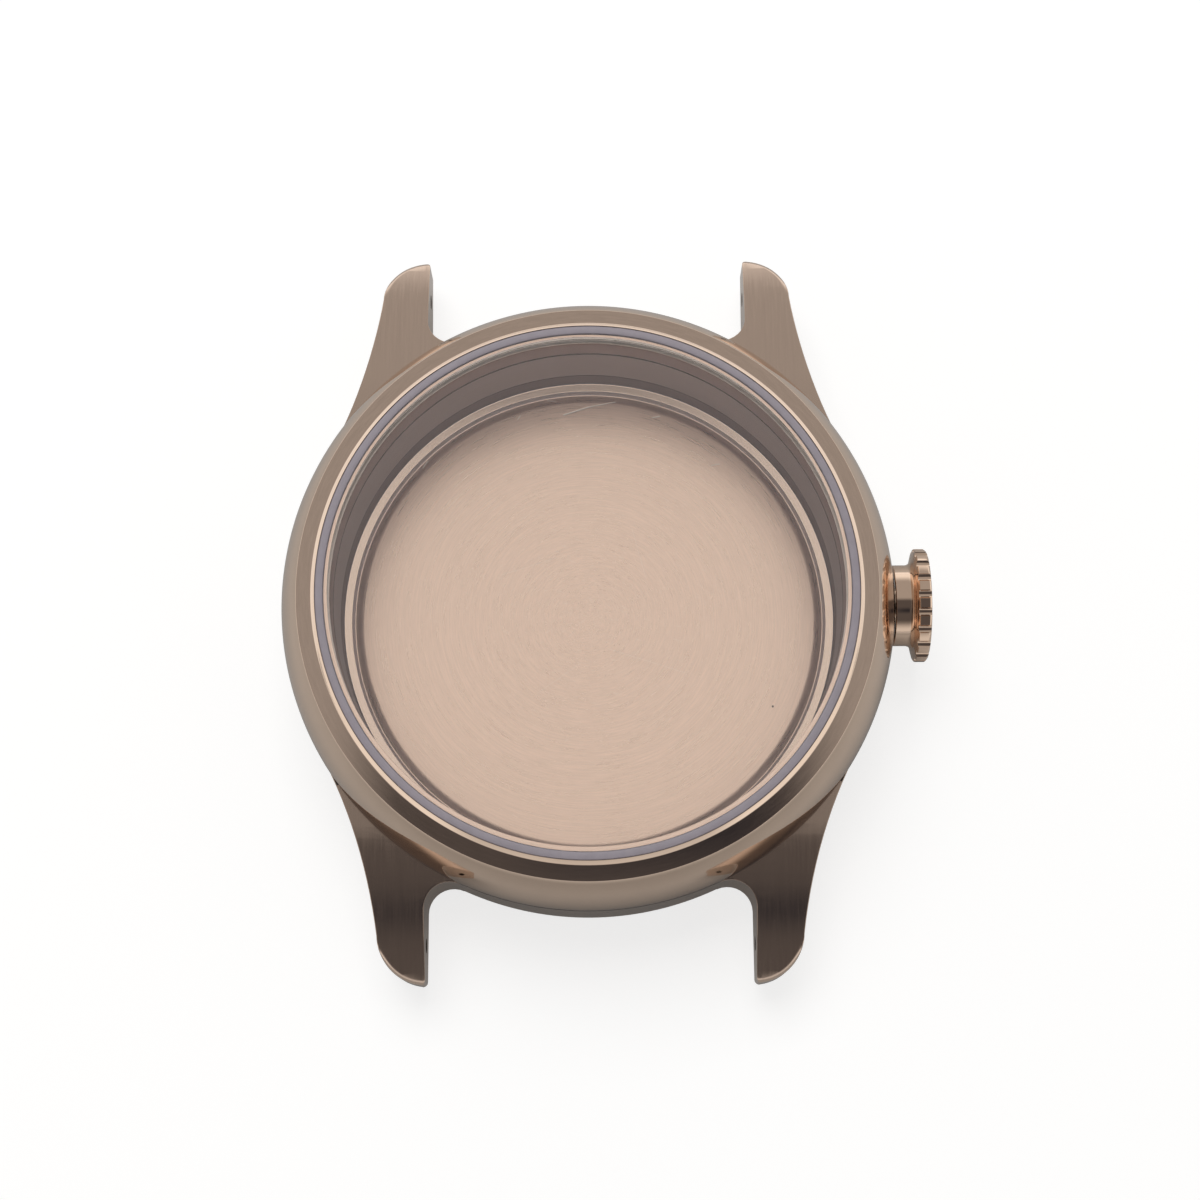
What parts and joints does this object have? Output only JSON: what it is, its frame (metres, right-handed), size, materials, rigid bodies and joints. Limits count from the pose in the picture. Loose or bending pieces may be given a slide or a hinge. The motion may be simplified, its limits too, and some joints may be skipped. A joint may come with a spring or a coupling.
{
  "type": "watch case",
  "caption": "Round wristwatch case with lugs, bezel, flat crystal, fluted crown and press-on back, empty and ready for a movement, dial and strap.",
  "frame": {"origin": "centre of the case back's flat outer face", "axes": "+Z out through the crystal, +X to the crown at 3 o'clock, +Y to 12 o'clock"},
  "size_m": [0.0435, 0.0506, 0.0124],
  "materials": {
    "case_steel": "brushed lugs, polished flanks, warm bronze tone",
    "bezel_steel": "polished flank and lip, brushed top ring",
    "back_steel": "concentric turned inside, satin outside",
    "tube_steel": "turned",
    "crown_gold": "polished rose gold plate",
    "crystal_glass": "polished, clear",
    "seal_nylon": "translucent lilac-grey nylon",
    "seal_rubber": "matt"
  },
  "bodies": {
    "case": {"mid_case": "case_steel", "bezel": "bezel_steel", "bezel_gasket": "seal_rubber", "crystal": "crystal_glass", "crystal_gasket": "seal_nylon", "crown_tube": "tube_steel"},
    "crown_seal": {"crown_gasket": "seal_rubber", "crown_washer": "tube_steel"},
    "crown": {"crown": "crown_gold", "crown_core": "tube_steel"},
    "back": {"case_back": "back_steel", "case_back_gasket": "seal_rubber"}
  },
  "joints": [
    {"name": "crown_pull", "type": "slide", "parent": "case", "child": "crown_seal", "axis": [1, 0, 0], "range_m": [0, 0.0009]},
    {"name": "crown_turn", "type": "hinge", "parent": "crown_seal", "child": "crown", "pos_m": [0.022, 0, 0.0054], "axis": [1, 0, 0], "continuous": true},
    {"name": "back_lift", "type": "slide", "parent": "back", "child": "case", "axis": [0, 0, 1], "range_m": [0, 0.012]}
  ]
}
